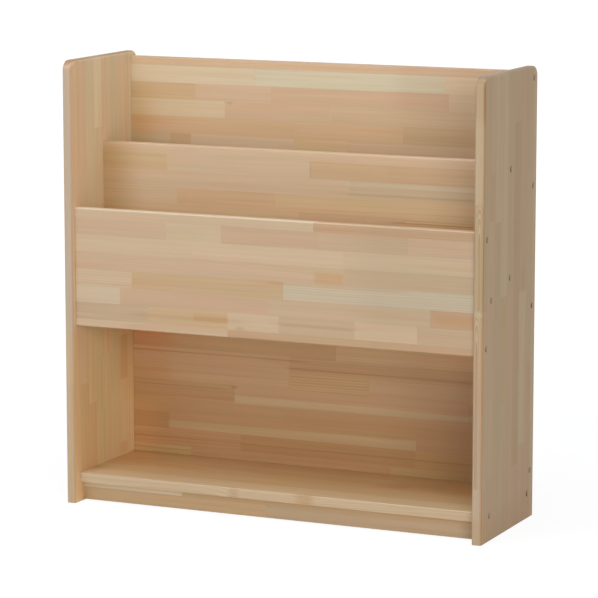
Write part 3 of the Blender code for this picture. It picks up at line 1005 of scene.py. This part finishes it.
def markDisc(piece, place, radius):
    # each point's way from the plug's centre, in radii, kept with the mesh
    points = np.empty(len(piece.data.vertices) * 3)
    piece.data.vertices.foreach_get("co", points)
    away = (points.reshape(-1, 3) - np.array(place)) / radius
    piece.data.attributes.new("disc", "FLOAT_VECTOR", "POINT").data.foreach_set("vector", away.ravel())


plugLooks = {
    "wood": (178, 152, 122),
    "tone": 0.98,
    "unlike": 0.5,  # how far one plug's tone lies from the next
    "fibre": 0.10,
    "rings": 0.07,
    "ringGap": 1.9,  # millimetres
    "ringSway": 3,
    "forwardShade": (0.30, 0.20, 0.11, 1.0),  # painted shade on the forward side, where the bore's rim would shade it
    "forwardShadeReach": 0.35,
    "forwardShadeShare": 0.8,
    "roughness": 0.60,
    "gloss": {"Specular IOR Level": 0.15},
    "reliefDepth": 0.0001,
}

beechLooks = {
    "woods": ((205, 168, 128), (222, 193, 156)),
    "flecks": {"Scale": 900.0, "Detail": 3.0},
    "roughness": 0.55,
    "reliefDepth": 0.0001,
}

steelLooks = {
    "metals": ((196, 186, 150), (214, 212, 204)),  # where the passivation is yellow, and where it is thin
    "patches": {"Scale": 420.0, "Detail": 2.0},
    "roughness": 0.26,
    "reliefDepth": 0.00002,
}


def plugWood(looks):
    # Face-grain pine plugs: rings as slow bands, fibres up and down, each plug a little lighter or darker,
    # and painted shade on the forward side.
    # The noises are stretched by millimetres across and upright, and a third number sets them apart.
    paint = Paint(bpy.data.materials.new("pine plug"))
    place = paint.node("ShaderNodeTexCoord").out("Object")
    xyz = paint.node("ShaderNodeSeparateXYZ", None, {0: place})
    across, upright = xyz.out("Y") * 1000, xyz.out("Z") * 1000
    each = paint.noise(across / 30, upright / 30, 3.7, 0.0) - 0.5
    disc = paint.node("ShaderNodeAttribute", {"attribute_name": "disc"}).out("Vector")
    forward = paint.node("ShaderNodeSeparateXYZ", None, {0: disc}).out("Y")
    fibre = paint.noise(across / 0.6, upright / 9, 1.3, 3.0) - 0.5
    sway = paint.noise(across / 6, upright / 25, 5.1) * looks["ringSway"]
    rings = paint.smooth(paint.fraction(across / looks["ringGap"] + sway), 0.5, 1.0)
    tone = looks["tone"] + each * looks["unlike"] + fibre * looks["fibre"] - rings * looks["rings"]
    colour = paint.mix(1.0, linear(looks["wood"]), paint.grey(tone), "MULTIPLY")
    # painted shade over the plug's forward side
    forwardShade = 1 - paint.smooth(forward - each, -looks["forwardShadeReach"], looks["forwardShadeReach"])
    colour = paint.stain(forwardShade * (looks["forwardShadeShare"] + each), colour, looks["forwardShade"])
    roughness = looks["roughness"] + fibre * 0.15
    return paint.finish(colour, roughness, fibre, looks["reliefDepth"], looks["gloss"])


def dowelWood(looks):
    paint = Paint(bpy.data.materials.new("beech dowel"))
    place = paint.node("ShaderNodeTexCoord").out("Object")
    flecks = paint.node("ShaderNodeTexNoise", None, {"Vector": place, **looks["flecks"]})
    colour = paint.mix(flecks, *map(linear, looks["woods"]))
    return paint.finish(colour, looks["roughness"] + flecks * 0.12, flecks, looks["reliefDepth"])


def zincSteel(looks):
    # bright zinc with the faint yellow of its passivation, duller in patches
    paint = Paint(bpy.data.materials.new("zinc plated steel"))
    place = paint.node("ShaderNodeTexCoord").out("Object")
    patches = paint.node("ShaderNodeTexNoise", None, {"Vector": place, **looks["patches"]})
    colour = paint.mix(patches, *map(linear, looks["metals"]))
    roughness = looks["roughness"] + patches * 0.2
    return paint.finish(colour, roughness, patches, looks["reliefDepth"], {"Metallic": 1.0})


def boxOf(node):
    low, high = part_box(node)
    return np.array(low), np.array(high)


def screwNodes():
    return sorted(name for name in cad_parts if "_screw_" in name)


def makeScrewJoints(shape):
    plug = plugWood(plugLooks)
    steel = zincSteel(steelLooks)
    cutters = {}
    for node in screwNodes():
        low, high = boxOf(node)
        side = 1 if low[0] > 0 else -1
        place = np.array([side * float(cadBox[1][0]), (low[1] + high[1]) / 2, (low[2] + high[2]) / 2])
        axis = "+x" if side > 0 else "-x"
        plugNode = node.replace("screw", "plug")
        screwPiece = screwSurface("zinc_" + node, shape, place, axis)
        dressed(screwPiece, node, steel)
        plugPiece = turned("pine_" + plugNode, plugProfile(shape), place, axis, shape["plugSides"])
        markDisc(plugPiece, place, shape["plugRadius"])
        dressed(plugPiece, plugNode, plug)
        cutters[node] = turned("hole_" + node, holeProfile(shape), place, axis, shape["plugSides"])
    return cutters


def makeDowels(shape):
    beech = dowelWood(beechLooks)
    cutters = {}
    for node in sorted(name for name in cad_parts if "_dowel_" in name):
        low, high = boxOf(node)
        dressed(dowelSurface("fluted_" + node, low, high, shape), node, beech)
        gap = shape["gap"]
        lengthwise = int(np.argmax(high - low))
        radius = float(np.sort(high - low)[0] / 2) + gap
        place = (low + high) / 2
        place[lengthwise] = low[lengthwise] - gap
        length = float(high[lengthwise] - low[lengthwise]) + 2 * gap
        profile = [(0, 0), (radius, 0), (radius, length), (0, length)]
        cutters[node] = turned("bore_" + node, profile, place, "xyz"[lengthwise], shape["boreSides"])
    return cutters


def makeSidePanels(cutters):
    for side, looks in (("left", leftPanel), ("right", rightPanel)):
        node = "side_panel_" + side
        low, high = boxOf(node)
        panel = panelSurface("laminated_" + node, low, high, sidePanels)
        cutAway(panel, [cutter for name, cutter in cutters.items() if name.endswith(side)])
        centre = float(low[0] + high[0]) / 2
        places = [boxOf(name) for name in screwNodes() if name.endswith(side)]
        wood = {
            **plainBoard, **sidePanels, **looks,
            "ways": [("Z", float(high[2]), -1), ("Y", float(low[1]), 1), ("X", centre, 1)],
            "plugs": [(float(a[1] + b[1]) / 2, float(a[2] + b[2]) / 2) for a, b in places],
            "boreRadius": (joinery["plugRadius"] + joinery["gap"]) * 1000,
        }
        dressed(panel, node, pine("pine panel " + side, wood))


def makeCrossBoards(cutters):
    for seed, (node, own) in enumerate(crossBoards.items(), 101):
        shape = {**plainBoard, **own}
        low, high = boxOf(node)
        board = boardSurface("laminated_" + node, low, high, shape)
        cutAway(board, [cutter for cutter in cutters.values() if touches(cutter, low, high)])
        middle = (low + high) / 2
        start = ("X", float(low[0]), 1)
        if shape["upright"]:
            ways = [start, ("Z", float(high[2]), -1), ("Y", float(middle[1]), -1)]
        else:
            ways = [start, ("Y", float(low[1]), 1), ("Z", float(middle[2]), 1)]
        size = (high - low).tolist()
        width = size[2 if shape["upright"] else 1] * 1000
        wood = {**shape, "ways": ways, "seed": seed, "length": size[0] * 1000, "width": width}
        dressed(board, node, pine("pine " + node.replace("_", " "), wood))


def touches(cutter, low, high):
    corners = np.array([corner[:] for corner in cutter.bound_box])
    return bool((corners.min(0) < high).all() and (corners.max(0) > low).all())


def seenDirectly(paint):
    # 1 where the camera looks, straight or by way of a gloss or glass, and 0 for the light on the shelf
    rays = paint.node("ShaderNodeLightPath")
    seen = paint.maths("MAXIMUM", rays.out("Is Camera Ray"), rays.out("Is Glossy Ray"))
    return paint.maths("MAXIMUM", seen, rays.out("Is Transmission Ray"))


def makeWorld():
    world = bpy.data.worlds.new("studio")
    bpy.context.scene.world = world
    paint = Paint(world)
    strength = room["skyLight"] + seenDirectly(paint) * (1 - room["skyLight"])
    colour = (*room["skyColour"], 1.0)
    sky = paint.node("ShaderNodeBackground", None, {"Color": colour, "Strength": strength})
    paint.node("ShaderNodeOutputWorld", None, {"Surface": sky})


def makeFloor():
    half = room["floorSize"] / 2
    corners = np.array([[-half, -half, 0], [half, -half, 0], [half, half, 0], [-half, half, 0]])
    mesh = bpy.data.meshes.new("floor")
    mesh.from_pydata(corners.tolist(), [], [[0, 1, 2, 3]])
    floor = bpy.data.objects.new("floor", mesh)
    bpy.context.scene.collection.objects.link(floor)
    paint = Paint(bpy.data.materials.new("white floor"))
    matte = paint.node("ShaderNodeBsdfDiffuse", None, {"Color": (*room["floorColour"], 1.0)})
    glow = paint.node("ShaderNodeEmission", None, {"Color": (1, 1, 1, 1), "Strength": room["glowStrength"]})
    place = paint.node("ShaderNodeTexCoord").out("Object")
    away = paint.node("ShaderNodeVectorMath", {"operation": "LENGTH"}, {0: place}).out("Value")
    fade = paint.smooth(away, *room["floorShadow"])
    share = seenDirectly(paint) * (room["floorGlow"] + fade * (1 - room["floorGlow"]))
    blend = paint.node("ShaderNodeMixShader", None, {0: share, 1: matte, 2: glow})
    paint.node("ShaderNodeOutputMaterial", None, {"Surface": blend})
    floor.data.materials.append(paint.owner)


def makeLamps():
    for name, (place, target, width, height, watts) in lamps.items():
        light = bpy.data.lights.new(name, "AREA")
        light.shape = "RECTANGLE"
        light.size = width
        light.size_y = height
        light.energy = watts
        light.color = room["lampColour"]
        lamp = bpy.data.objects.new(name, light)
        lamp.location = place
        away = np.array(place) - np.array(target)
        flat = math.hypot(away[0], away[1])
        lamp.rotation_euler = (math.atan2(flat, away[2]), 0, math.atan2(away[0], -away[1]))
        bpy.context.scene.collection.objects.link(lamp)


def makeCamera():
    camera = bpy.data.cameras.new("camera")
    camera.lens = room["lens"]
    camera.sensor_width = room["sensor"]
    eye = bpy.data.objects.new("camera", camera)
    eye.location = room["cameraPlace"]
    eye.rotation_euler = (math.radians(90 - room["cameraTilt"]), 0, math.radians(room["cameraTurn"]))
    bpy.context.scene.collection.objects.link(eye)
    bpy.context.scene.camera = eye
    bpy.context.scene.view_settings.view_transform = "Standard"


makeCamera()
makeWorld()
makeFloor()
makeLamps()
print("room, lamps and camera are set")
screwCutters = makeScrewJoints(joinery)
print("screws and plugs are in")
dowelCutters = makeDowels(joinery)
print("dowels are in")
makeSidePanels(screwCutters)
print("side panels are cut and stained")
makeCrossBoards({**screwCutters, **dowelCutters})
print("boards are cut and stained")
for cutter in [*screwCutters.values(), *dowelCutters.values()]:
    bpy.data.objects.remove(cutter)
